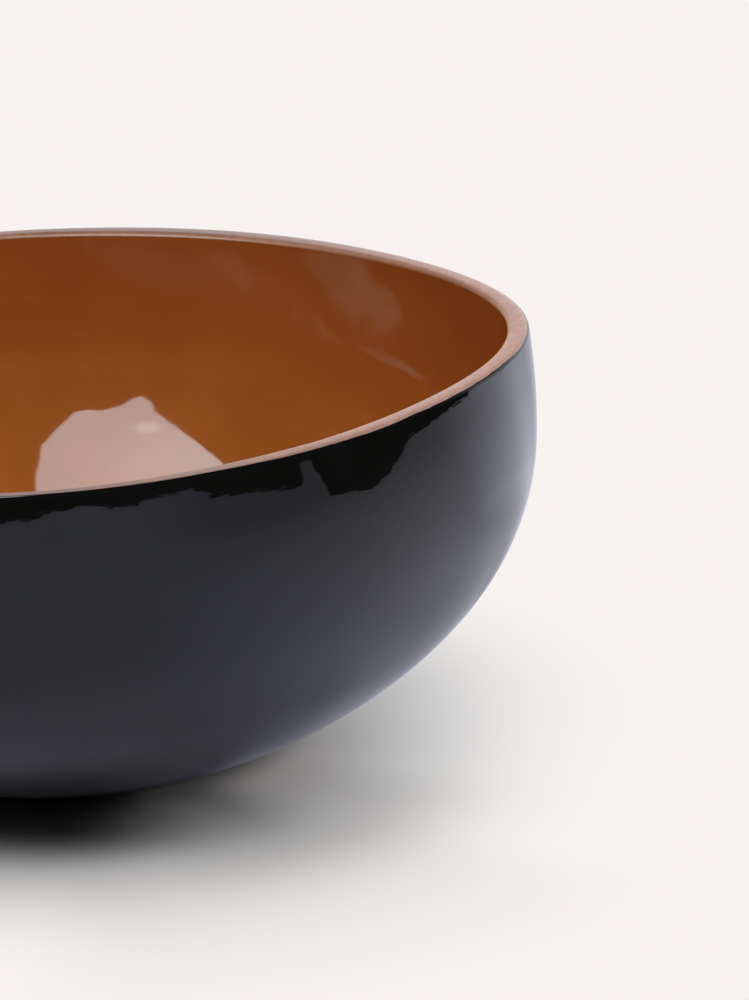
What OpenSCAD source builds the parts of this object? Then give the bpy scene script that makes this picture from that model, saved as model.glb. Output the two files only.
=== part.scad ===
// Bowl made from half a coconut shell, lacquered black outside and orange inside.
// The mouth faces +Z, the longest of the shell's three lobes points along +X,
// and the origin is the middle of the flat that is ground under the bowl.

/* [Shell outline] */
// Height of the finished bowl
bowl_h = 64; // [56:0.5:80]
// Width of the circle that the lobed plan swells from, at the belly
belly_d = 138; // [120:1:170]
// Height of the belly above the table
belly_h = 48; // [40:0.5:54]
// How far the rim stands inside the belly, on each side
rim_draw = 1.2; // [0.3:0.1:6]
// Width of the circle that the base's lobed plan swells from
base_d = 46.5; // [36:0.5:60]
// How full the sides are below the belly, where 2 is an ellipse
side_fullness = 2.16; // [1.8:0.02:2.8]

/* [Natural plan] */
// How much longer the shell is than round, as a share of the belly
oval_share = 0.044; // [0:0.002:0.08]
// How far the three lobes swell, as a share of the belly
lobe_share = 0.067; // [0:0.001:0.08]
// How far the ridge along each seam between two lobes lifts, as a share of the belly
seam_share = 0.05; // [0:0.002:0.06]
// How far the plan has turned round again at the shell's pole, where 1 is a circle
pole_round_share = 0.4; // [0:0.05:1]

/* [Wall] */
// Mean thickness of the finished wall
wall_t = 3; // [2.6:0.1:6]
// How much thinner the wall is on the long lobe, and thicker across from it
wall_swing = 1; // [0:0.1:1.2]
// Extra thickness inside each seam
seam_wall = 0.8; // [0:0.1:2]
// Thickness in the middle of the floor
floor_t = 2.4; // [1.8:0.1:6]

/* [Coats] */
// Filler coat that levels the fibrous outside of the shell
ground_t = 0.3; // [0.2:0.05:0.5]
// How much of the filler coat is sanded away over the seams
ground_sanded_share = 0.5; // [0:0.05:0.6]
// Each lacquer coat on the sides, the inside and the base
lacquer_t = 0.2; // [0.15:0.05:0.3]
// Lacquer built up on the rim
rim_coat_t = 0.6; // [0.3:0.05:1]
// Rounding of the rim's outer edge
rim_round_out = 0.5; // [0.1:0.05:1]
// Rounding of the rim's inner edge
rim_round_in = 0.35; // [0.1:0.05:1]

/* [Hidden] */

shell_colour = [0.45, 0.30, 0.18];
ground_colour = [0.25, 0.20, 0.17];
black_lacquer_colour = [0.06, 0.06, 0.07];
orange_lacquer_colour = [0.66, 0.33, 0.12];
rim_colour = [0.80, 0.55, 0.42];

// Directions round the bowl, and rings below and above the belly
directions = 60;
side_rings = 9;
cavity_rings = 10;
neck_rings = 3;
// Facets on the two edges of the rim
outer_edge_steps = 3;
inner_edge_steps = 2;

belly_r = belly_d / 2;
rim_r = belly_r - rim_draw;
base_r = base_d / 2;
// Planes where the side coats stop: above the base coat and below the rim coat
side_low_z = lacquer_t;
side_top_z = bowl_h - rim_coat_t;
// Depth of the whole shell below the belly, before its base is ground flat
shell_depth = belly_h / pow(1 - pow(base_r / belly_r, 2), 1 / side_fullness);
cavity_depth = belly_h - floor_t;
// Height above the belly at which the shell would close again
crown_h = (bowl_h - belly_h) / sqrt(1 - pow(rim_r / belly_r, 2));
outer_edge_r = min(rim_round_out, rim_coat_t);
inner_edge_r = min(rim_round_in, rim_coat_t);

// The shell's natural form, by the angle a from the long lobe

// One along each of the three seams, falling to none on the lobes
function seam(a) = pow((1 - cos(3 * a)) / 2, 2);
// How far the plan stands out from a circle, as a share of its radius
function swell(a) = oval_share * cos(2 * a) + lobe_share * cos(3 * a) + seam_share * seam(a);
// Plan at a depth below the belly, as a share of its mean radius: the lobes fade to the pole
function plan(a, sunk_share = 0) = 1 + swell(a) * (1 - pole_round_share * pow(sunk_share, 2));
function wall(a) = wall_t - wall_swing * cos(a) + seam_wall * seam(a);
function ground(a) = ground_t * (1 - ground_sanded_share * seam(a));
// The belly narrows to the rim along an ellipse
function neck(z) = sqrt(1 - pow((z - belly_h) / crown_h, 2));
function neck_z(k) = belly_h + (side_top_z - belly_h) * k / neck_rings;

// A side below the belly is part of a superellipse, which turn t follows from pole to belly.
// It lies inside the finished outer form by inset, and its pole is depth below the belly.
function side_point(a, inset, depth, t) =
    let (sunk_share = pow(cos(t), 2 / side_fullness))
    [(belly_r * plan(a, sunk_share) - inset) * sin(t), belly_h - depth * sunk_share];

// Profiles of one direction, as [radius, height], from the bottom up

// The outer face of the shell or of a coat, which lies deep below the finished face
function outer_profile(a, deep) =
    let (depth = shell_depth - deep,
         low_turn = acos(pow((belly_h - side_low_z) / depth, side_fullness / 2)))
    [
        for (k = [0:side_rings])
            side_point(a, deep, depth, low_turn + (90 - low_turn) * k / side_rings),
        for (k = [1:neck_rings])
            [belly_r * plan(a) * neck(neck_z(k)) - deep, neck_z(k)],
    ];

// The cavity's face or the face behind its coat, without the pole
function cavity_profile(a, behind) =
    [
        for (k = [1:cavity_rings])
            side_point(a, wall(a) - behind, cavity_depth + behind, 90 * k / cavity_rings),
        for (k = [1:neck_rings])
            [belly_r * plan(a) * neck(neck_z(k)) - wall(a) + behind, neck_z(k)],
    ];

function backwards(list) = [for (k = [len(list) - 1:-1:0]) list[k]];

// Section of the rim: flat underneath, and rounded over at both edges
function rim_profile(a) =
    let (out_r = belly_r * plan(a) * neck(side_top_z),
         in_r = out_r - wall(a))
    concat(
        [[out_r, side_top_z]],
        [for (k = [0:outer_edge_steps])
            let (t = 90 * k / outer_edge_steps)
            [out_r - outer_edge_r + outer_edge_r * cos(t), bowl_h - outer_edge_r + outer_edge_r * sin(t)]
        ],
        [for (k = [0:inner_edge_steps])
            let (t = 90 + 90 * k / inner_edge_steps)
            [in_r + inner_edge_r + inner_edge_r * cos(t), bowl_h - inner_edge_r + inner_edge_r * sin(t)]
        ],
        [[in_r, side_top_z]]
    );

// Solids lofted through one section for each direction.
// Quads split along the diagonal that rises with the angle, on both faces of a coat,
// so that a coat and what is under it share every facet.

function direction(i) = 360 * i / directions;
function around(i, p) = [p[0] * cos(direction(i)), p[0] * sin(direction(i)), p[1]];

// The two triangles between point j of one section and point next of the following one
function strip(i, j, next, count, rising) =
    let (here = i * count, there = ((i + 1) % directions) * count)
    rising
        ? [[here + j, here + next, there + next], [here + j, there + next, there + j]]
        : [[here + j, here + next, there + j], [here + next, there + next, there + j]];

// Closed sections, which rise for the first points and then come down again
module ring_loft(sections, rising_points) {
    count = len(sections[0]);
    points = [for (i = [0:directions - 1]) each [for (p = sections[i]) around(i, p)]];
    faces = [
        for (i = [0:directions - 1])
            for (j = [0:count - 1])
                each strip(i, j, (j + 1) % count, count, j < rising_points - 1)
    ];
    polyhedron(points, faces);
}

// Open sections from one point on the axis, up and over to another
module cup_loft(sections, rising_points, low_z, high_z) {
    count = len(sections[0]);
    low_pole = directions * count;
    high_pole = low_pole + 1;
    points = [
        for (i = [0:directions - 1]) each [for (p = sections[i]) around(i, p)],
        [0, 0, low_z],
        [0, 0, high_z],
    ];
    faces = [
        for (i = [0:directions - 1])
            let (here = i * count, there = ((i + 1) % directions) * count)
            each [
                [low_pole, here, there],
                [here + count - 1, high_pole, there + count - 1],
            ],
        for (i = [0:directions - 1])
            for (j = [0:count - 2])
                each strip(i, j, j + 1, count, j < rising_points - 1),
    ];
    polyhedron(points, faces);
}

// The half shell: its ground base, its lobed outside, its sawn rim and its cavity
module coconut_shell() {
    sections = [
        for (i = [0:directions - 1])
            let (a = direction(i))
            concat(outer_profile(a, lacquer_t + ground(a)), backwards(cavity_profile(a, lacquer_t)))
    ];
    color(shell_colour)
        cup_loft(sections, side_rings + neck_rings + 1, side_low_z, floor_t - lacquer_t);
}

// A coat on the outside, between two depths below the finished face
module outer_coat(faces_by_direction) {
    sections = [for (faces = faces_by_direction) concat(faces[0], backwards(faces[1]))];
    ring_loft(sections, side_rings + neck_rings + 1);
}

module outer_ground() {
    color(ground_colour)
        outer_coat([
            for (i = [0:directions - 1])
                let (a = direction(i))
                [outer_profile(a, lacquer_t), outer_profile(a, lacquer_t + ground(a))]
        ]);
}

module outer_lacquer() {
    color(black_lacquer_colour)
        outer_coat([
            for (i = [0:directions - 1])
                let (a = direction(i))
                [outer_profile(a, 0), outer_profile(a, lacquer_t)]
        ]);
}

module inner_lacquer() {
    sections = [
        for (i = [0:directions - 1])
            let (a = direction(i))
            concat(cavity_profile(a, lacquer_t), backwards(cavity_profile(a, 0)))
    ];
    color(orange_lacquer_colour)
        cup_loft(sections, cavity_rings + neck_rings, floor_t - lacquer_t, floor_t);
}

// The rim coat caps the shell and the ends of all its side coats
module rim_lacquer() {
    color(rim_colour)
        ring_loft([for (i = [0:directions - 1]) rim_profile(direction(i))], outer_edge_steps + 2);
}

// The base coat seals the ground flat and is what the bowl stands on
module base_lacquer() {
    color(black_lacquer_colour)
        linear_extrude(height = lacquer_t)
            polygon([
                for (i = [0:directions - 1])
                    let (a = direction(i))
                    base_r * plan(a, belly_h / shell_depth) * [cos(a), sin(a)]
            ]);
}

coconut_shell();
outer_ground();
outer_lacquer();
inner_lacquer();
rim_lacquer();
base_lacquer();
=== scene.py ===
"""Looks of the coconut shell bowl: its lacquer coats, the floor, the light and the camera."""

import math
from functools import reduce
from typing import NamedTuple

import bpy
import numpy as np
from mathutils import Matrix, Vector


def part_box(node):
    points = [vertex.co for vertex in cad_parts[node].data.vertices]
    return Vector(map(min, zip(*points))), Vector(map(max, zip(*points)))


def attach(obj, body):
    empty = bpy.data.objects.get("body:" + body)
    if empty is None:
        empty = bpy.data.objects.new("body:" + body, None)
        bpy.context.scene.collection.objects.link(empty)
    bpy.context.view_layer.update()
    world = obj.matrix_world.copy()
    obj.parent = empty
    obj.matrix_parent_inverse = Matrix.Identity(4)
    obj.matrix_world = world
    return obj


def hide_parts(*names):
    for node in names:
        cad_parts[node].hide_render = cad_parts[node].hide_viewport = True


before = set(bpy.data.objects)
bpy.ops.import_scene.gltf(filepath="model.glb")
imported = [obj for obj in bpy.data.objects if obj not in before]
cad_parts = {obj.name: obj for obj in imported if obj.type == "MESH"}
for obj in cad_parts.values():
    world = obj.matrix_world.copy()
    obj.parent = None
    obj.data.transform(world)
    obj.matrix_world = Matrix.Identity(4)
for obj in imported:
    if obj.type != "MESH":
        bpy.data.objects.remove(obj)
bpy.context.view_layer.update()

MM = 0.001

# Driving sizes, the same as the construction's
BOWL_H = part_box("rim_lacquer")[1].z
BELLY_R = 138 / 2 * MM
BELLY_H = 48 * MM
RIM_DRAW = 1.2 * MM
BASE_R = 46.5 / 2 * MM
SIDE_FULLNESS = 2.16
OVAL_SHARE = 0.044
LOBE_SHARE = 0.067
SEAM_SHARE = 0.05
POLE_ROUND_SHARE = 0.4
WALL_T = 3 * MM
WALL_SWING = 1 * MM
SEAM_WALL = 0.8 * MM
FLOOR_T = 2.4 * MM
GROUND_T = 0.3 * MM
GROUND_SANDED_SHARE = 0.5
LACQUER_T = 0.2 * MM
RIM_COAT_T = 0.6 * MM

SIDE_LOW_Z = LACQUER_T
SIDE_TOP_Z = BOWL_H - RIM_COAT_T
SHELL_DEPTH = BELLY_H / (1 - (BASE_R / BELLY_R) ** 2) ** (1 / SIDE_FULLNESS)
CAVITY_DEPTH = BELLY_H - FLOOR_T
CROWN_H = (BOWL_H - BELLY_H) / math.sqrt(1 - ((BELLY_R - RIM_DRAW) / BELLY_R) ** 2)

# How finely the visible meshes follow the form
DIRECTIONS = 360
SIDE_RINGS = 64
CAVITY_RINGS = 64
NECK_RINGS = 18
RIM_STEPS = 28
# Faces that meet at more than this stay sharp
SHARP_ANGLE = math.radians(40)

# How flat the top of the rim is before it rounds over at its edges
RIM_FLATNESS = 4
# It is squarest where the wall is thin: by the cosine of the angle to this side, it gets
# squarer from this value on, over this span
RIM_THIN_FLATNESS = 12
RIM_THIN_SIDE = math.radians(15)
RIM_THIN_FROM = 0.75
RIM_THIN_SPAN = 0.17
# How far the rim's outer side leans in as it rises, like the neck below it
NECK_LEAN = 0.145

# Brushed lacquer is faintly uneven: its outer face is sunk by at least this much, and by
# up to so much more, in waves between two lengths
SUNK_LEAST = 0.04 * MM
SUNK_MORE = 0.03 * MM
RIPPLE_LONGEST = 38 * MM
RIPPLE_SHORTEST = 9 * MM
RIPPLE_WAVES = 36
RIPPLE_SEED = 7
# Rings over which that comes in from either end
RIPPLE_FADE = 16

angles = np.arange(DIRECTIONS) * 2 * np.pi / DIRECTIONS


# The natural form, by the angle from the long lobe


def seam(a):
    """One along each of the three seams, falling to none on the lobes."""
    return ((1 - np.cos(3 * a)) / 2) ** 2


def swell(a):
    """How far the plan stands out from a circle, as a share of its radius."""
    return OVAL_SHARE * np.cos(2 * a) + LOBE_SHARE * np.cos(3 * a) + SEAM_SHARE * seam(a)


def plan(a, sunk_share=0.0):
    """The plan's radius as a share of the belly's: the lobes fade towards the pole."""
    return 1 + swell(a) * (1 - POLE_ROUND_SHARE * sunk_share**2)


def wall(a):
    return WALL_T - WALL_SWING * np.cos(a) + SEAM_WALL * seam(a)


def ground(a):
    return GROUND_T * (1 - GROUND_SANDED_SHARE * seam(a))


def neck(z):
    """How the belly narrows to the rim, along an ellipse."""
    return np.sqrt(1 - ((z - BELLY_H) / CROWN_H) ** 2)


# Rings, as a radius and a height at each angle


def ring_of(radius, height):
    return np.stack([radius, height + 0 * radius], axis=-1)


def side_ring(a, inset, depth, turn):
    """A ring of a side below the belly, where the turn goes from the pole to the belly."""
    sunk_share = np.cos(turn) ** (2 / SIDE_FULLNESS)
    radius = (BELLY_R * plan(a, sunk_share) - inset) * np.sin(turn)
    return ring_of(radius, BELLY_H - depth * sunk_share)


def neck_rings(a, inset):
    """The rings from the belly up to the rim coat."""
    rise = SIDE_TOP_Z - BELLY_H
    heights = [BELLY_H + rise * k / NECK_RINGS for k in range(NECK_RINGS + 1)]
    return [ring_of(BELLY_R * plan(a) * neck(z) - inset, z) for z in heights]


def outer_rings(a, deep):
    """An outer face that lies deep below the finished one, from the base up."""
    depth = SHELL_DEPTH - deep
    low_turn = np.arccos(((BELLY_H - SIDE_LOW_Z) / depth) ** (SIDE_FULLNESS / 2))
    turns = [low_turn + (np.pi / 2 - low_turn) * k / SIDE_RINGS for k in range(SIDE_RINGS)]
    return [side_ring(a, deep, depth, turn) for turn in turns] + neck_rings(a, deep)


def cavity_rings(a, behind):
    """The cavity's face, or the face behind its coat, without the pole."""
    inset = wall(a) - behind
    depth = CAVITY_DEPTH + behind
    turns = [np.pi / 2 * k / CAVITY_RINGS for k in range(1, CAVITY_RINGS)]
    return [side_ring(a, inset, depth, turn) for turn in turns] + neck_rings(a, inset)


def rim_rings(a):
    """The rim coat: flat underneath, and crowned between its rounded edges."""
    middle = BELLY_R * plan(a) * neck(SIDE_TOP_Z) - wall(a) / 2
    thin = np.clip((np.cos(a - RIM_THIN_SIDE) - RIM_THIN_FROM) / RIM_THIN_SPAN, 0, 1)
    flatness = RIM_FLATNESS + (RIM_THIN_FLATNESS - RIM_FLATNESS) * thin
    rings = []
    for k in range(RIM_STEPS + 1):
        across = math.cos(math.pi * k / RIM_STEPS)
        rise = RIM_COAT_T * np.sqrt(np.maximum(0.0, 1 - abs(across) ** flatness))
        radius = middle + wall(a) / 2 * across - NECK_LEAN * rise * max(0.0, across)
        rings.append(ring_of(radius, SIDE_TOP_Z + rise))
    return rings


def base_rings(a):
    """The base coat's edge, below and above."""
    edge = BASE_R * plan(a, BELLY_H / SHELL_DEPTH)
    return [ring_of(edge, 0.0), ring_of(edge, LACQUER_T)]


def around(ring):
    """The points of a ring."""
    r, z = ring[:, 0], ring[:, 1]
    return np.stack([r * np.cos(angles), r * np.sin(angles), z], axis=-1)


def ripple(points):
    """A smooth uneven field from -1 to 1, by place."""
    draw = np.random.default_rng(RIPPLE_SEED)
    field = np.zeros(points.shape[:-1])
    for _ in range(RIPPLE_WAVES):
        along = draw.normal(size=3)
        along /= np.linalg.norm(along)
        length = RIPPLE_SHORTEST * (RIPPLE_LONGEST / RIPPLE_SHORTEST) ** draw.random()
        phase = draw.random() * 2 * math.pi
        wave = np.cos(2 * math.pi / length * (points @ along) + phase)
        field += length / RIPPLE_LONGEST * wave
    return field / np.abs(field).max()


def uneven(rings):
    """Sinks rings inwards unevenly, but not the first and the last."""
    sunk = []
    for k, ring in enumerate(rings):
        ease = min(1.0, k / RIPPLE_FADE, (len(rings) - 1 - k) / RIPPLE_FADE)
        share = (1 + ripple(around(ring))) / 2
        sunk.append(ring_of(ring[:, 0] - (SUNK_LEAST + SUNK_MORE * share) * ease, ring[:, 1]))
    return sunk


# Closed meshes from rings


def bands(first, second):
    """Quads between two rings that start at those point numbers."""
    steps = range(DIRECTIONS)
    following = [(i + 1) % DIRECTIONS for i in steps]
    return [(first + i, first + j, second + j, second + i) for i, j in zip(steps, following)]


def ring_loft(rings):
    """A closed ring through closed sections."""
    count = len(rings)
    points = np.concatenate([around(ring) for ring in rings])
    faces = []
    for k in range(count):
        faces += bands(k * DIRECTIONS, (k + 1) % count * DIRECTIONS)
    return points, faces


def cup_loft(rings, low_z, high_z):
    """A closed cup through open sections, from one point on the axis to another."""
    count = len(rings)
    poles = [(0.0, 0.0, low_z), (0.0, 0.0, high_z)]
    points = np.concatenate([around(ring) for ring in rings] + [np.array(poles)])
    low_pole = count * DIRECTIONS
    high_pole = low_pole + 1
    faces = []
    for k in range(count - 1):
        faces += bands(k * DIRECTIONS, (k + 1) * DIRECTIONS)
    last = (count - 1) * DIRECTIONS
    for i in range(DIRECTIONS):
        j = (i + 1) % DIRECTIONS
        faces.append((low_pole, j, i))
        faces.append((last + i, last + j, high_pole))
    return points, faces


def between(front, behind):
    """Up the rings of a front face, and down those of the one behind it."""
    return front + behind[::-1]


def add_mesh(name, points, faces, material):
    mesh = bpy.data.meshes.new(name)
    mesh.from_pydata([tuple(p) for p in points], [], faces)
    mesh.materials.append(material)
    made = bpy.data.objects.new(name, mesh)
    bpy.context.scene.collection.objects.link(made)
    return made


def new_piece(name, form, material, node):
    """A smooth mesh that stands for a node of the construction and moves with the bowl."""
    points, faces = form
    piece = add_mesh(name, points, faces, material)
    mesh = piece.data
    mesh.validate()
    mesh.update()
    for face in mesh.polygons:
        face.use_smooth = True
    mesh.set_sharp_from_angle(angle=SHARP_ANGLE)
    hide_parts(node)
    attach(piece, "root")


# Nodes


class Nodes:
    """A node tree, to which nodes are added one at a time."""

    def __init__(self, tree):
        self.tree = tree

    def feed(self, socket, value):
        """Sets a socket's value, or links it when the value is another socket."""
        if isinstance(value, bpy.types.NodeSocket):
            self.tree.links.new(value, socket)
        else:
            socket.default_value = value

    def node(self, kind, inputs=(), **settings):
        made = self.tree.nodes.new(kind)
        for key, value in settings.items():
            setattr(made, key, value)
        for key, value in dict(inputs).items():
            self.feed(made.inputs[key], value)
        return made

    def maths(self, operation, *values):
        made = self.node("ShaderNodeMath", dict(enumerate(values)), operation=operation)
        return made.outputs[0]

    def product(self, *factors):
        return reduce(lambda a, b: self.maths("MULTIPLY", a, b), factors)

    def total(self, *terms):
        return reduce(lambda a, b: self.maths("ADD", a, b), terms)

    def rest_of(self, share):
        return self.maths("SUBTRACT", 1.0, share)

    def vectors(self, operation, *values, output="Vector"):
        made = self.node("ShaderNodeVectorMath", dict(enumerate(values)), operation=operation)
        return made.outputs[output]

    def towards(self, unit, side):
        """The cosine of the angle between a unit vector and a direction."""
        return self.vectors("DOT_PRODUCT", unit, tuple(side), output="Value")

    def ranged(self, value, low, high, new_low=0.0, new_high=1.0):
        """A smooth step from one level to another, between two values."""
        inputs = {
            "Value": value,
            "From Min": low,
            "From Max": high,
            "To Min": new_low,
            "To Max": new_high,
        }
        made = self.node("ShaderNodeMapRange", inputs, interpolation_type="SMOOTHSTEP")
        return made.outputs["Result"]

    def blend(self, share, first, second):
        """One of two colours, or a share of the second in the first."""
        made = self.node("ShaderNodeMix", {"Factor": share}, data_type="RGBA")
        for key, value in (("A", first), ("B", second)):
            socket = next(s for s in made.inputs if s.name == key and s.type == "RGBA")
            self.feed(socket, value if isinstance(value, bpy.types.NodeSocket) else (*value, 1))
        return next(s for s in made.outputs if s.type == "RGBA")

    def glow(self, colour, strength):
        inputs = {"Color": colour, "Strength": strength}
        return self.node("ShaderNodeEmission", inputs).outputs["Emission"]

    def either(self, share, first, second):
        """One of two shaders, or a share of the second in the first."""
        return self.node("ShaderNodeMixShader", {0: share, 1: first, 2: second}).outputs[0]

    def show(self, output, shader):
        self.feed(self.tree.nodes[output].inputs["Surface"], shader)


class Shader(Nodes):
    """A material's nodes, and where on the object they are."""

    def __init__(self, name):
        self.material = bpy.data.materials.new(name)
        self.material.use_nodes = True
        super().__init__(self.material.node_tree)
        self.surface = self.tree.nodes["Principled BSDF"]
        coordinates = self.node("ShaderNodeTexCoord")
        self.place = coordinates.outputs["Object"]
        self.normal = coordinates.outputs["Normal"]

    def set(self, **sockets):
        for key, value in sockets.items():
            self.feed(self.surface.inputs[key.replace("_", " ")], value)

    def stretched(self, *scale):
        made = self.node("ShaderNodeMapping", {"Vector": self.place, "Scale": scale})
        return made.outputs["Vector"]

    def noise(self, size, detail=2.0, roughness=0.5, place=None):
        """Noise with features of that size, in metres."""
        inputs = {
            "Vector": place or self.place,
            "Scale": 1 / size,
            "Detail": detail,
            "Roughness": roughness,
        }
        return self.node("ShaderNodeTexNoise", inputs).outputs["Fac"]

    def bump(self, height, depth, below=None):
        """Raises the surface by up to depth, in metres."""
        inputs = {"Strength": 1.0, "Distance": depth, "Height": height}
        if below:
            inputs["Normal"] = below
        return self.node("ShaderNodeBump", inputs).outputs["Normal"]


# Materials. A pair of colours or of levels goes from where a noise is low to where it is
# high, over one of these parts of its range.

WIDE = (0.3, 0.7)
NARROW = (0.35, 0.65)

BLACK_TONES = (0.0028, 0.0030, 0.0026), (0.0038, 0.0040, 0.0036)
BLACK_ROUGHNESS = (0.02, 0.04)
BLACK_IOR = 1.46
# Brush marks run round the bowl, so they are wider than high
BRUSHED = (1.0, 1.0, 3.0)


def black_lacquer():
    s = Shader("black_lacquer")
    mottle = s.ranged(s.noise(12 * MM, detail=3.0), *NARROW)
    orange_peel = s.bump(s.noise(2.2 * MM, detail=1.0), 0.003 * MM)
    marks = s.noise(4 * MM, detail=1.5, place=s.stretched(*BRUSHED))
    s.set(
        Base_Color=s.blend(mottle, *BLACK_TONES),
        Roughness=s.ranged(s.noise(20 * MM), *WIDE, *BLACK_ROUGHNESS),
        IOR=BLACK_IOR,
        Normal=s.bump(marks, 0.01 * MM, below=orange_peel),
    )
    return s.material


ORANGE_TONES = (0.375, 0.112, 0.020), (0.425, 0.128, 0.025)
ORANGE_ROUGHNESS = (0.04, 0.06)
ORANGE_IOR = 1.45
# Pale streaks run round the cavity
ORANGE_STREAK_TONE = (0.47, 0.16, 0.04)
ORANGE_STREAK_SCALE = (0.25, 0.25, 2.0)
ORANGE_STREAKS_FROM = (0.6, 0.8)
ORANGE_STREAKS_SHARE = 0.25


def orange_lacquer():
    s = Shader("orange_lacquer")
    mottle = s.ranged(s.noise(18 * MM, detail=3.0), *WIDE)
    marks = s.noise(4 * MM, place=s.stretched(*ORANGE_STREAK_SCALE))
    streaks = s.ranged(marks, *ORANGE_STREAKS_FROM, 0.0, ORANGE_STREAKS_SHARE)
    s.set(
        Base_Color=s.blend(streaks, s.blend(mottle, *ORANGE_TONES), ORANGE_STREAK_TONE),
        Roughness=s.ranged(s.noise(20 * MM), *WIDE, *ORANGE_ROUGHNESS),
        IOR=ORANGE_IOR,
        Normal=s.bump(s.noise(6 * MM), 0.02 * MM),
    )
    return s.material


def shell_side(degrees):
    """A level direction, by its angle from the long lobe."""
    a = math.radians(degrees)
    return (math.cos(a), math.sin(a), 0)


# The rim's tones are paler on this side, a painted reflection over the lacquer's own colour,
# so these pairs of colours go from across the bowl to there, by the cosine of the angle to it
RIM_REFLECTION_SIDE = shell_side(105)
RIM_REFLECTION_FROM = (0.1, 0.95)
# Inner edge: the lacquer's tone brightened by a painted highlight. Middle: the rim's own tone.
# Outer rounding: a painted reflection, dark, but pale grey towards the reflection side.
RIM_INNER_TONE_AND_HIGHLIGHT = (0.46, 0.170, 0.065), (0.62, 0.230, 0.050)
RIM_MIDDLE = (0.20, 0.088, 0.055), (0.41, 0.195, 0.135)
RIM_OUTER_REFLECTION = (0.10, 0.068, 0.058), (0.36, 0.215, 0.170)
# On this side its inner edge is duller, with less of the painted highlight
RIM_INNER_DULL_SIDE = shell_side(200)
RIM_INNER_DULL_FROM = (-0.2, 0.5)
RIM_INNER_DULL = (0.37, 0.165, 0.085)
# Specks are worn into it all over
RIM_WORN = (0.09, 0.055, 0.04)
RIM_WORN_SHARE = 0.22
# Across the rim its face leans from -1 at the inner edge to 1 at the outer one. By that
# lean, with some wobble, the tones go from inner to middle and from middle to outer: a
# painted highlight on the inner edge, and a painted reflection on the outer rounding.
INNER_TO_MIDDLE = (-0.45, 0.0)
MIDDLE_TO_OUTER = (0.0, 0.6)
EDGE_WOBBLE = (-0.1, 0.1)
# The black lacquer laps over the outer edge, up to a lean that is less on this side
LAP_SIDE = shell_side(15)
LAP_SIDE_FROM = (0.80, 0.92)
LAP_TO = (0.50, 0.26)
LAP_SOFTNESS = 0.08
LAP_TONE = (0.0034, 0.0036, 0.0032)
# The top is glossier than the edges, and the lap is glossier still
RIM_LEAN = (0.15, 0.6)
RIM_ROUGHNESS = (0.20, 0.34)
LAP_ROUGHNESS_SHARE = 0.2
RIM_IOR = 1.45


def rim_lacquer():
    s = Shader("rim_lacquer")
    unit = s.vectors("NORMALIZE", s.vectors("MULTIPLY", s.place, (1.0, 1.0, 0.0)))
    outward = s.vectors("DOT_PRODUCT", s.normal, unit, output="Value")
    wobble = s.ranged(s.noise(8 * MM, detail=3.0), *WIDE, *EDGE_WOBBLE)
    edge = s.total(outward, wobble)
    # Painted reflection: the rim's tones grow paler towards one side
    reflection_share = s.ranged(s.towards(unit, RIM_REFLECTION_SIDE), *RIM_REFLECTION_FROM)
    # The inner edge's painted highlight is duller towards one side
    inner_dulled = s.ranged(s.towards(unit, RIM_INNER_DULL_SIDE), *RIM_INNER_DULL_FROM)
    inner = s.blend(inner_dulled, s.blend(reflection_share, *RIM_INNER_TONE_AND_HIGHLIGHT), RIM_INNER_DULL)
    middle = s.blend(reflection_share, *RIM_MIDDLE)
    outer = s.blend(reflection_share, *RIM_OUTER_REFLECTION)
    # Painted highlight on the inner edge and painted reflection on the outer rounding, by how the
    # face leans
    outer_half = s.blend(s.ranged(edge, *MIDDLE_TO_OUTER), middle, outer)
    whole = s.blend(s.ranged(edge, *INNER_TO_MIDDLE), inner, outer_half)
    specks = s.ranged(s.noise(1.6 * MM, detail=3.0), *NARROW, 0.0, RIM_WORN_SHARE)
    lap_to = s.ranged(s.towards(unit, LAP_SIDE), *LAP_SIDE_FROM, *LAP_TO)
    lap = s.ranged(s.maths("SUBTRACT", edge, lap_to), 0.0, LAP_SOFTNESS)
    spread = s.ranged(s.maths("ABSOLUTE", outward), *RIM_LEAN, *RIM_ROUGHNESS)
    s.set(
        Base_Color=s.blend(lap, s.blend(specks, whole, RIM_WORN), LAP_TONE),
        Roughness=s.product(spread, s.ranged(lap, 0.0, 1.0, 1.0, LAP_ROUGHNESS_SHARE)),
        IOR=RIM_IOR,
        Normal=s.bump(s.noise(2.5 * MM), 0.008 * MM),
    )
    return s.material


SHELL_TONES = (0.09, 0.045, 0.022), (0.27, 0.14, 0.07)
SHELL_ROUGHNESS = (0.55, 0.75)
# Fibres run up the shell
FIBRES = (1.0, 1.0, 0.15)


def shell_fibre():
    s = Shader("coconut_shell")
    fibres = s.noise(1.2 * MM, detail=5.0, roughness=0.6, place=s.stretched(*FIBRES))
    s.set(
        Base_Color=s.blend(s.ranged(fibres, *NARROW), *SHELL_TONES),
        Roughness=s.ranged(fibres, *WIDE, *SHELL_ROUGHNESS),
        Normal=s.bump(fibres, 0.1 * MM),
    )
    return s.material


GROUND_TONES = (0.035, 0.026, 0.022), (0.07, 0.05, 0.042)
GROUND_ROUGHNESS = (0.7, 0.85)


def filler_ground():
    s = Shader("filler_ground")
    grain = s.noise(0.8 * MM, detail=4.0)
    s.set(
        Base_Color=s.blend(s.ranged(grain, *NARROW), *GROUND_TONES),
        Roughness=s.ranged(grain, *WIDE, *GROUND_ROUGHNESS),
        Normal=s.bump(grain, 0.03 * MM),
    )
    return s.material


BLACK = black_lacquer()
ORANGE = orange_lacquer()
RIM = rim_lacquer()
SHELL = shell_fibre()
GROUND = filler_ground()

# The pieces. Where two touch, both follow the same rings.

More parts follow.
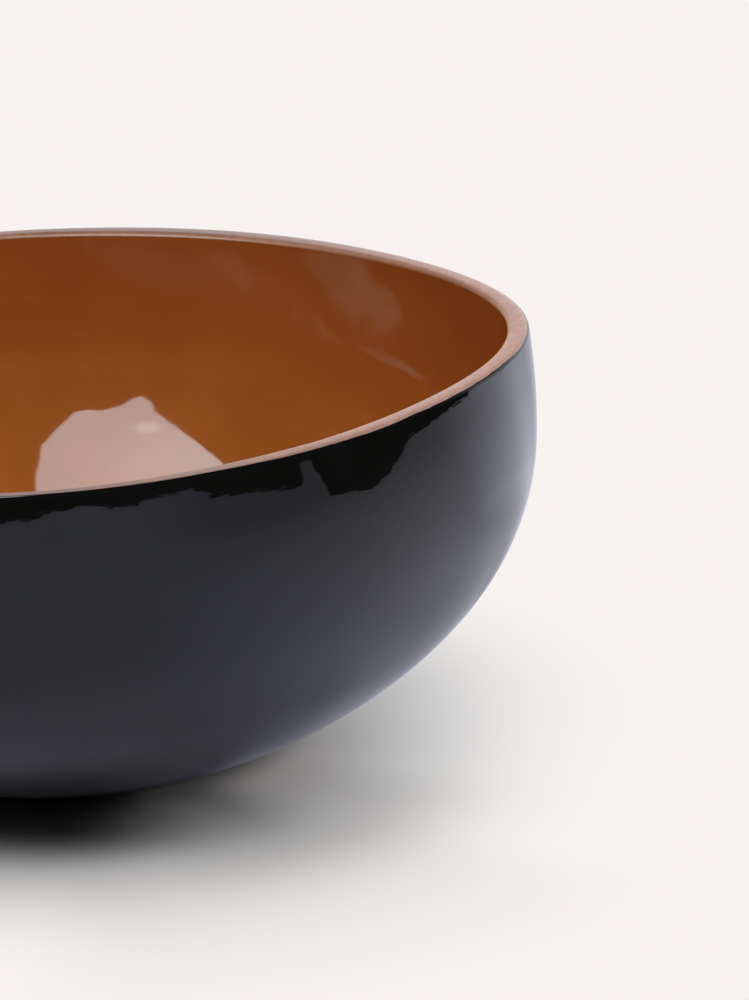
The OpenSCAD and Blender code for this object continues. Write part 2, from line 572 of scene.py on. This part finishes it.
outer_face = uneven(outer_rings(angles, 0.0))
under_black = outer_rings(angles, LACQUER_T)
under_ground = outer_rings(angles, LACQUER_T + ground(angles))
cavity_face = cavity_rings(angles, 0.0)
under_orange = cavity_rings(angles, LACQUER_T)
cavity_floor = FLOOR_T - LACQUER_T

black_coat = ring_loft(between(outer_face, under_black))
new_piece("outer_lacquer_coat", black_coat, BLACK, "outer_lacquer")

ground_coat = ring_loft(between(under_black, under_ground))
new_piece("filler_coat", ground_coat, GROUND, "outer_ground")

shell = cup_loft(between(under_ground, under_orange), SIDE_LOW_Z, cavity_floor)
new_piece("half_shell", shell, SHELL, "coconut_shell")

orange_coat = cup_loft(between(under_orange, cavity_face), cavity_floor, FLOOR_T)
new_piece("inner_lacquer_coat", orange_coat, ORANGE, "inner_lacquer")

rim_coat = ring_loft(rim_rings(angles))
new_piece("rim_lacquer_coat", rim_coat, RIM, "rim_lacquer")

base_coat = cup_loft(base_rings(angles), 0.0, LACQUER_T)
new_piece("base_lacquer_coat", base_coat, BLACK, "base_lacquer")

# The camera, as the photograph was taken, with its angles in degrees

PHOTO_H = 1000
FOCAL_PX = 4923.7
SENSOR = 36
CLIP_NEAR = 0.01
CLIP_FAR = 50
CAMERA_AZIMUTH = 20.12
CAMERA_ELEVATION = 18.483
CAMERA_ROLL = -1.1626
CAMERA_DISTANCE = 780 * MM
CAMERA_RIGHT = 44.777 * MM
CAMERA_UP = 36.852 * MM


def heading(azimuth, elevation=0.0):
    """A direction by its angles in degrees: azimuth grows from the camera's side to its right."""
    a = math.radians(CAMERA_AZIMUTH) + math.radians(azimuth)
    e = math.radians(elevation)
    return Vector((math.cos(e) * math.cos(a), math.cos(e) * math.sin(a), math.sin(e)))


back = heading(0, CAMERA_ELEVATION)
level_right = heading(90)
level_up = back.cross(level_right)
roll = math.radians(CAMERA_ROLL)
right = level_right * math.cos(roll) + level_up * math.sin(roll)
up = level_up * math.cos(roll) - level_right * math.sin(roll)
camera_place = back * CAMERA_DISTANCE + right * CAMERA_RIGHT + up * CAMERA_UP
camera_turn = Matrix((right, up, back)).transposed().to_4x4()

camera = bpy.data.objects.new("camera", bpy.data.cameras.new("camera"))
bpy.context.scene.collection.objects.link(camera)
camera.data.sensor_width = SENSOR
camera.data.lens = SENSOR * FOCAL_PX / PHOTO_H
camera.data.clip_start = CLIP_NEAR
camera.data.clip_end = CLIP_FAR
camera.matrix_world = Matrix.Translation(camera_place) @ camera_turn
bpy.context.scene.camera = camera

# The floor

PALE = (0.930, 0.888, 0.863)
FLOOR_GREY = (0.775, 0.775, 0.775)
FLOOR_REFLECTED = (0.73, 0.74, 0.90)
BLACKEST = (0.0, 0.0, 0.0)
FLOOR_DROP = 0.01 * MM
FLOOR_HALF = 6.0
# Between these distances the floor goes from one that takes light to an even tone
EVEN_FROM = (0.045, 0.095)


class Zone(NamedTuple):
    """A part of the floor on one side of the bowl, where something has up to that share.

    The side is an azimuth. Between the cosines of two angles to it, the zone goes from the
    first of its levels to the second. Between distances from the middle, in metres, it
    rises from none, and falls to none.
    """

    side: float
    cosines: tuple
    share: float
    rise: tuple = ()
    fall: tuple = ()
    levels: tuple = (0.0, 1.0)


# The shadow is darkest where the bowl stands, in front of it. Reflections show that weaker.
CONTACT = Zone(-25, (0.58, 0.94), 0.92, fall=(0.040, 0.060))
CONTACT_REFLECTED_SHARE = 0.7
# Little light comes in right under the bowl, and a little more from this side
UNDER = Zone(65, (0.75, 0.95), 0.7, fall=(0.026, 0.038), levels=(1.0, 0.4))
# The rest of the shadow, and a veil farther out
SHADE = Zone(42, (0.85, 1.0), 0.30, fall=(0.052, 0.092))
VEIL = Zone(25, (0.86, 0.97), 0.09, rise=(0.052, 0.062), fall=(0.080, 0.115))
# Reflections show the floor darker beside the bowl
BESIDE = Zone(88, (0.75, 0.95), 0.22, rise=(0.046, 0.058))
# The bowl's right side throws some light back into its shadow
BOUNCE = Zone(74, (0.75, 0.95), 0.14, rise=(0.026, 0.036), fall=(0.046, 0.062))
BASE_BOUNCE = Zone(46, (0.82, 0.97), 0.028, rise=(0.0245, 0.028), fall=(0.031, 0.042))

# The table as reflections show it: cooler, and brighter towards the window on the right
TABLE_SIDE = heading(95)
TABLE_FROM = (0.2, 1.0)
TABLE_LEVELS = (0.62, 0.96)
TABLE_COOL = (0.93, 0.96, 1.20)
TABLE_PLAIN = (0.97, 0.985, 1.14)
TABLE_PLAIN_FROM = (0.2, 0.9)
# The window lights a streak of it
STREAK = Zone(121, (0.94, 1.0), 0.39, rise=(0.125, 0.165))
# It darkens towards its end, close to the bowl, and behind the bowl on its right
TABLE_DIM = Zone(78, (0.58, 1.0), 0.57, rise=(0.10, 0.36))
TABLE_NEAR = Zone(113, (0.62, 1.0), 0.36, fall=(0.065, 0.115))
TABLE_BEHIND = Zone(127, (0.96, 1.0), 0.25, rise=(0.070, 0.085), fall=(0.095, 0.140))


def floor_material():
    """Diffuse near the bowl, where the shadow lies, and an even pale tone farther out."""
    s = Shader("floor")
    path = s.node("ShaderNodeLightPath")
    glossy = path.outputs["Is Glossy Ray"]
    distance = s.vectors("LENGTH", s.place, output="Value")
    unit = s.vectors("NORMALIZE", s.place)

    def here(zone):
        """How strong a zone is at this place."""
        factors = []
        if zone.rise:
            risen = 1.0 if zone.fall else zone.share
            factors.append(s.ranged(distance, *zone.rise, 0.0, risen))
        if zone.fall:
            factors.append(s.ranged(distance, *zone.fall, zone.share, 0.0))
        aside = s.towards(unit, heading(zone.side))
        return s.product(*factors, s.ranged(aside, *zone.cosines, *zone.levels))

    # The lit floor
    veil = here(VEIL)
    contact = s.product(
        here(CONTACT), s.ranged(glossy, 0.0, 1.0, 1.0, CONTACT_REFLECTED_SHARE)
    )
    darkest = s.maths("MAXIMUM", contact, here(UNDER))
    dark = s.total(darkest, here(SHADE), veil, s.product(here(BESIDE), glossy))
    grey = s.blend(glossy, FLOOR_GREY, FLOOR_REFLECTED)
    s.set(Base_Color=s.blend(dark, grey, BLACKEST), Roughness=1.0, Specular_IOR_Level=0.0)

    # The even tone, and the table that reflections show instead
    table = s.ranged(s.towards(unit, TABLE_SIDE), *TABLE_FROM, *TABLE_LEVELS)
    dim = s.total(here(TABLE_DIM), here(TABLE_NEAR), here(TABLE_BEHIND))
    level = s.product(s.total(table, here(STREAK)), s.rest_of(dim))
    plain_share = s.ranged(s.towards(unit, heading(STREAK.side)), *TABLE_PLAIN_FROM)
    reflected = s.glow(s.blend(plain_share, TABLE_COOL, TABLE_PLAIN), level)
    plain = s.glow((*PALE, 1), s.rest_of(veil))
    tone = s.either(glossy, plain, reflected)

    even = s.total(s.ranged(distance, *EVEN_FROM), s.total(here(BOUNCE), here(BASE_BOUNCE)))
    share = s.product(even, s.rest_of(path.outputs["Is Diffuse Ray"]))
    s.show("Material Output", s.either(share, s.surface.outputs["BSDF"], tone))
    return s.material


def stage_mesh(name, points, faces, material):
    made = add_mesh(name, points, faces, material)
    return made


corners = [(-1, -1), (1, -1), (1, 1), (-1, 1)]
floor_points = [(x * FLOOR_HALF, y * FLOOR_HALF, -FLOOR_DROP) for x, y in corners]
stage_mesh("floor", floor_points, [(0, 1, 2, 3)], floor_material())

# What only reflections show. Outlines are azimuths and elevations in degrees.

# The softbox whose reflection lies in the cavity, with a brighter side and a lamp in it.
# The room's light stands for what it throws on the bowl.
SOFTBOX_DISTANCE = 5.0
SOFTBOX_COLOUR = (0.88, 1.0, 1.05)
SOFTBOX_LEVELS = (7.2, 8.6)
SOFTBOX_BRIGHT_SIDE = heading(-50, 50)
SOFTBOX_BRIGHT_FROM = (0.88, 1.0)
SOFTBOX_LAMP = heading(-22.5, 39.1)
SOFTBOX_LAMP_FROM = (math.cos(math.radians(4)), 1.0)
SOFTBOX_LAMP_LEVEL = 3.0
SOFTBOX_MIDDLE = (-25, 55)
SOFTBOX_OUTLINE = [
    (60, 84), (16.5, 72), (10.6, 59.6), (7.8, 50.4), (3.3, 43.3), (-2.3, 32), (-6.4, 30.8),
    (-10.5, 30.9), (-14.4, 27.5), (-16.8, 23.5), (-18.9, 22.2), (-21.4, 25.1), (-23, 29.8),
    (-28.5, 35.7), (-38, 42.6), (-52.9, 49.6), (-75, 56), (-110, 70),
]

# Reflections of reflections show three panes of the room instead, by level and outline
PANE_DISTANCE = 4.9
PANE_COLOUR = (1.0, 1.02, 0.85)
PANES = [
    (12.0, [
        (1.6, 49.0), (-6.1, 45.9), (-11.7, 43.2), (-15.3, 41.2), (-15.1, 43.5), (-21.7, 40.3),
        (-26.5, 37.3), (-28.2, 38.2), (-25.1, 40.9), (-18.4, 44.7), (-12.4, 47.5), (-5.0, 49.6),
        (1.0, 51.0), (4.6, 51.2), (4.0, 50.3),
    ]),
    (15.0, [(9.6, 53.0), (8.4, 51.9), (12.4, 51.9), (12.4, 52.3), (11.3, 52.9)]),
    (5.0, [(7.6, 58.5), (12.0, 58.5), (13.5, 55.5), (11.3, 53.0), (9.5, 53.1), (7.8, 54.5)]),
]
# A ray depth between that of first reflections and that of the next
AFTER_FIRST = 1.5

# Where the table ends, by azimuth in degrees and distance. Its straight front edge cuts
# off the pale table, and a dark thing stands on its right side.
TABLE_END = [
    (-100, 3.0), (-70, 3.0), (-30, 0.9), (4, 0.78), (10, 0.82), (15.7, 0.98), (20.8, 1.05),
    (27, 0.95), (29.5, 0.76), (35, 0.71), (37.5, 0.80), (42.9, 0.83), (46.8, 0.78), (49.8, 0.57),
    (57, 0.48), (61, 0.46), (65.2, 0.415), (67.6, 0.425), (68.7, 0.46), (69.3, 0.58),
    (70.8, 0.62), (72.0, 0.59), (72.6, 0.324), (81.8, 0.282), (88, 0.306), (92, 0.345),
    (96.6, 0.405), (105.3, 0.405), (114, 0.41), (119, 0.44), (124, 0.55), (130, 0.85), (138, 1.8),
    (145, 4.0),
]
DARK_DROP = 0.005 * MM


def by_reflection(s, glow, second):
    """Keeps a glow to first reflections, or to reflections of those."""
    depth = s.node("ShaderNodeLightPath").outputs["Ray Depth"]
    hidden = s.maths("LESS_THAN" if second else "GREATER_THAN", depth, AFTER_FIRST)
    clear = s.node("ShaderNodeBsdfTransparent").outputs["BSDF"]
    s.show("Material Output", s.either(hidden, glow, clear))


def softbox_material():
    s = Shader("softbox")
    unit = s.vectors("NORMALIZE", s.place)
    bright = s.towards(unit, SOFTBOX_BRIGHT_SIDE)
    level = s.ranged(bright, *SOFTBOX_BRIGHT_FROM, *SOFTBOX_LEVELS)
    to_lamp = s.towards(unit, SOFTBOX_LAMP)
    lamp = s.ranged(to_lamp, *SOFTBOX_LAMP_FROM, 0.0, SOFTBOX_LAMP_LEVEL)
    by_reflection(s, s.glow((*SOFTBOX_COLOUR, 1), s.total(level, lamp)), second=False)
    return s.material


def pane_material(name, level):
    s = Shader(name)
    by_reflection(s, s.glow((*PANE_COLOUR, 1), level), second=True)
    return s.material


def dark_material():
    s = Shader("dark_room")
    s.set(Base_Color=(*BLACKEST, 1.0), Roughness=1.0, Specular_IOR_Level=0.0)
    return s.material


def reflected_mesh(name, points, faces, material):
    made = stage_mesh(name, points, faces, material)
    made.visible_camera = False
    made.visible_diffuse = False
    made.visible_transmission = False
    made.visible_volume_scatter = False
    made.visible_shadow = False


def make_softbox():
    """A fan of triangles from the softbox's outline to its middle."""
    points = [heading(a, e) * SOFTBOX_DISTANCE for a, e in SOFTBOX_OUTLINE]
    count = len(points)
    points.append(heading(*SOFTBOX_MIDDLE) * SOFTBOX_DISTANCE)
    faces = [(i, (i + 1) % count, count) for i in range(count)]
    reflected_mesh("softbox", points, faces, softbox_material())


def make_panes():
    for number, (level, outline) in enumerate(PANES, 1):
        name = f"pane_{number}"
        points = [heading(a, e) * PANE_DISTANCE for a, e in outline]
        reflected_mesh(name, points, [tuple(range(len(points)))], pane_material(name, level))


def make_dark_beyond():
    """The dark past the table's end, from there out to the floor's far edge."""
    near = [heading(a) * reach for a, reach in TABLE_END]
    far = [heading(a) * FLOOR_HALF for a, _ in TABLE_END]
    points = [Vector((p.x, p.y, -DARK_DROP)) for p in near + far]
    count = len(near)
    faces = [(i, i + 1, count + i + 1, count + i) for i in range(count - 1)]
    reflected_mesh("dark_beyond", points, faces, dark_material())


make_softbox()
make_panes()
make_dark_beyond()

# The room's light by direction

STRAIGHT_UP = (0, 0, 1)
# Overhead light comes in between these heights and leans to the front
OVERHEAD_FROM = (0.179, 0.814)
OVERHEAD_LIGHT = 1.10
FRONT_SIDE = heading(13)
FRONT_LEAN = 1.2
# A window's light comes low from behind, and grows from this cosine to its full level
WINDOW = heading(167, 10)
WINDOW_FROM = 0.70
WINDOW_LIGHT = 6.85
# What reflections show instead: a plain pale room, dark in front of the table and high up
ROOM_COLOUR = (0.98, 0.99, 1.04)
ROOM_FRONT_FROM = (-0.58, -0.40)
ROOM_FRONT_LEVEL = 0.02
ROOM_HIGH_FROM = (0.25, 0.42)
ROOM_HIGH_LEVEL = 0.1


def make_world():
    """Lights the bowl from overhead and behind, and shows reflections a plain room."""
    world = bpy.data.worlds.new("room")
    world.use_nodes = True
    bpy.context.scene.world = world
    n = Nodes(world.node_tree)
    path = n.node("ShaderNodeLightPath")
    glossy = path.outputs["Is Glossy Ray"]
    direction = n.node("ShaderNodeTexCoord").outputs["Generated"]
    height = n.towards(direction, STRAIGHT_UP)

    def line(side, slope, start):
        """A level that grows straight with the cosine to a side, and is never below none."""
        cosine = n.towards(direction, side)
        return n.maths("MAXIMUM", n.maths("MULTIPLY_ADD", cosine, slope, start), 0.0)

    overhead = n.ranged(height, *OVERHEAD_FROM, 0.0, OVERHEAD_LIGHT)
    slope = WINDOW_LIGHT / (1 - WINDOW_FROM)
    window = line(WINDOW, slope, -slope * WINDOW_FROM)
    light = n.total(n.product(overhead, line(FRONT_SIDE, FRONT_LEAN, 1.0)), window)
    room = n.product(
        n.ranged(n.towards(direction, heading(0)), *ROOM_FRONT_FROM, 1.0, ROOM_FRONT_LEVEL),
        n.ranged(height, *ROOM_HIGH_FROM, 1.0, ROOM_HIGH_LEVEL),
    )
    strength = n.node("ShaderNodeMix", {0: glossy, 2: light, 3: room}, data_type="FLOAT")
    background = n.tree.nodes["Background"]
    n.feed(background.inputs["Strength"], strength.outputs[0])
    n.feed(background.inputs["Color"], n.blend(glossy, (1, 1, 1), ROOM_COLOUR))
    plain = n.node("ShaderNodeBackground", {"Color": (*PALE, 1)})
    looked_at = path.outputs["Is Camera Ray"]
    n.show("World Output", n.either(looked_at, background.outputs[0], plain.outputs[0]))


make_world()

bpy.context.scene.view_settings.view_transform = "Standard"
